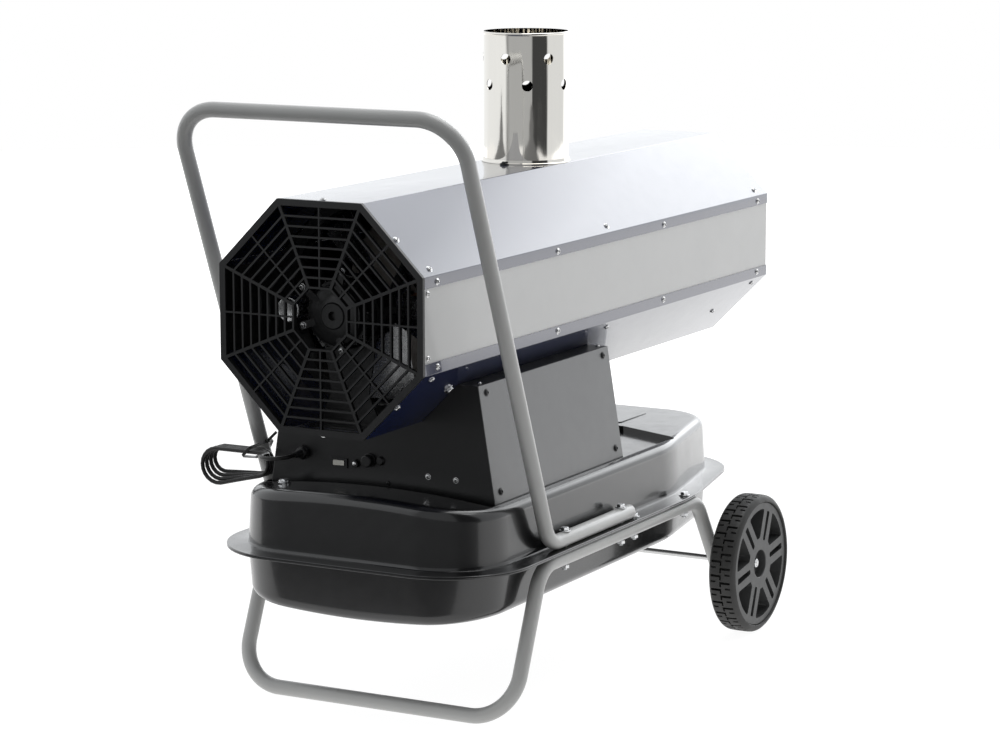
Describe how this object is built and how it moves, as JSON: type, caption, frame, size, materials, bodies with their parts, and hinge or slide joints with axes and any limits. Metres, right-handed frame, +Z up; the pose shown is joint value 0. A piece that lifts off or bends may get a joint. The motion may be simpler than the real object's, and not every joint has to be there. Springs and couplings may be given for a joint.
{
  "type": "indirect diesel space heater",
  "caption": "Trolley-mounted indirect-fired space heater: octagonal casing with fan grille and flue on a plinth over a fuel tank, with a push handle and wheels.",
  "frame": {"origin": "on the floor, below the middle of the heater's overall box", "axes": "+X from the fan grille to the hot-air outlet, +Y across to the side where the lead is stowed, +Z up"},
  "size_m": [1.3538, 0.7096, 1.09],
  "materials": {
    "grille_black": "moulded, satin",
    "cover_blue": "gloss navy powder coat",
    "black_steel": "satin black powder coat",
    "polished_steel": "bright stainless sheet",
    "aluminium": "bright aluminium",
    "burner_steel": "heat-resisting steel",
    "galvanised": "galvanised sheet",
    "plastic_black": "moulded, matte",
    "key_ivory": "moulded, glossy",
    "zinc": "zinc plated",
    "copper_line": "copper pipe",
    "tank_black": "satin black paint on drawn steel",
    "lead_black": "rubber-sheathed lead",
    "tube_silver": "silver-grey paint",
    "panel_cream": "semi-gloss cream powder coat",
    "cover_grey": "satin grey powder coat",
    "wheel_grey": "moulded, dark grey",
    "tyre_black": "moulded tread rubber"
  },
  "bodies": {
    "heater": {"fan_grille": "grille_black", "upper_cover": "cover_blue", "lower_cover": "cover_blue", "outlet_panel": "cover_blue", "outlet_ring": "black_steel", "flue_collar": "black_steel", "flue_pipe": "polished_steel", "fan_shroud": "black_steel", "fan_motor": "black_steel", "motor_bracket": "black_steel", "motor_capacitor": "aluminium", "burner_head": "burner_steel", "combustion_chamber": "burner_steel", "heat_exchanger": "burner_steel", "exchanger_cradle": "galvanised", "plinth": "black_steel", "cable_gland": "plastic_black", "rocker_switch_frame": "plastic_black", "fuel_pump": "zinc", "ignition_transformer": "plastic_black", "delivery_pipe": "copper_line", "tank_upper": "tank_black", "tank_lower": "tank_black", "filler_neck": "tank_black", "fuel_gauge": "plastic_black", "drain_plug": "zinc", "tank_fitting": "zinc", "handle": "tube_silver", "lower_frame": "tube_silver", "axle": "zinc", "power_cord": "lead_black", "cord_hank": "lead_black", "cord_strap": "lead_black", "power_cord_tail": "lead_black", "plug": "lead_black", "right_side_panel": "panel_cream", "left_side_panel": "panel_cream", "right_service_cover": "cover_grey", "left_service_cover": "cover_grey", "right_axle_cap": "zinc", "left_axle_cap": "zinc", "right_rail_rear_bolt": "zinc", "right_rail_front_bolt": "zinc", "right_flange_rear_bolt": "zinc", "right_flange_front_bolt": "zinc", "left_rail_rear_bolt": "zinc", "left_rail_front_bolt": "zinc", "left_flange_rear_bolt": "zinc", "left_flange_front_bolt": "zinc"},
    "right_wheel": {"right_wheel_hub": "wheel_grey", "right_tyre": "tyre_black"},
    "left_wheel": {"left_wheel_hub": "wheel_grey", "left_tyre": "tyre_black"},
    "fan": {"fan_impeller": "aluminium"},
    "rocker_key": {"rocker_switch_key": "key_ivory"},
    "reset_button": {"reset_button": "zinc"},
    "socket_cap": {"thermostat_socket_cap": "plastic_black"},
    "cap_seal": {"cap_seal": "lead_black"},
    "fuel_cap": {"fuel_cap": "plastic_black"}
  },
  "joints": [
    {"name": "right_wheel_spin", "type": "hinge", "parent": "heater", "child": "right_wheel", "pos_m": [0.2814, -0.3288, 0.125], "axis": [0, 1, 0], "continuous": true},
    {"name": "left_wheel_spin", "type": "hinge", "parent": "heater", "child": "left_wheel", "pos_m": [0.2814, 0.3288, 0.125], "axis": [0, 1, 0], "continuous": true},
    {"name": "fan_spin", "type": "hinge", "parent": "heater", "child": "fan", "pos_m": [-0.4421, 0, 0.6739], "axis": [1, 0, 0], "continuous": true},
    {"name": "rocker_switch_rock", "type": "hinge", "parent": "heater", "child": "rocker_key", "pos_m": [-0.4639, 0.08, 0.403], "axis": [0, 0, 1], "range_deg": [-12, 0]},
    {"name": "reset_button_press", "type": "slide", "parent": "heater", "child": "reset_button", "axis": [1, 0, 0], "range_m": [0, 0.003], "stiffness_N_per_m": 500},
    {"name": "thermostat_socket_cap_turn", "type": "hinge", "parent": "heater", "child": "socket_cap", "pos_m": [-0.4661, 0.022, 0.412], "axis": [1, 0, 0], "range_deg": [0, 270]},
    {"name": "fuel_cap_lift", "type": "slide", "parent": "heater", "child": "cap_seal", "axis": [0, 0, 1], "range_m": [0, 0.06]},
    {"name": "fuel_cap_turn", "type": "hinge", "parent": "cap_seal", "child": "fuel_cap", "pos_m": [0.3319, 0.112, 0.39], "axis": [0, 0, 1], "range_deg": [0, 90]}
  ]
}
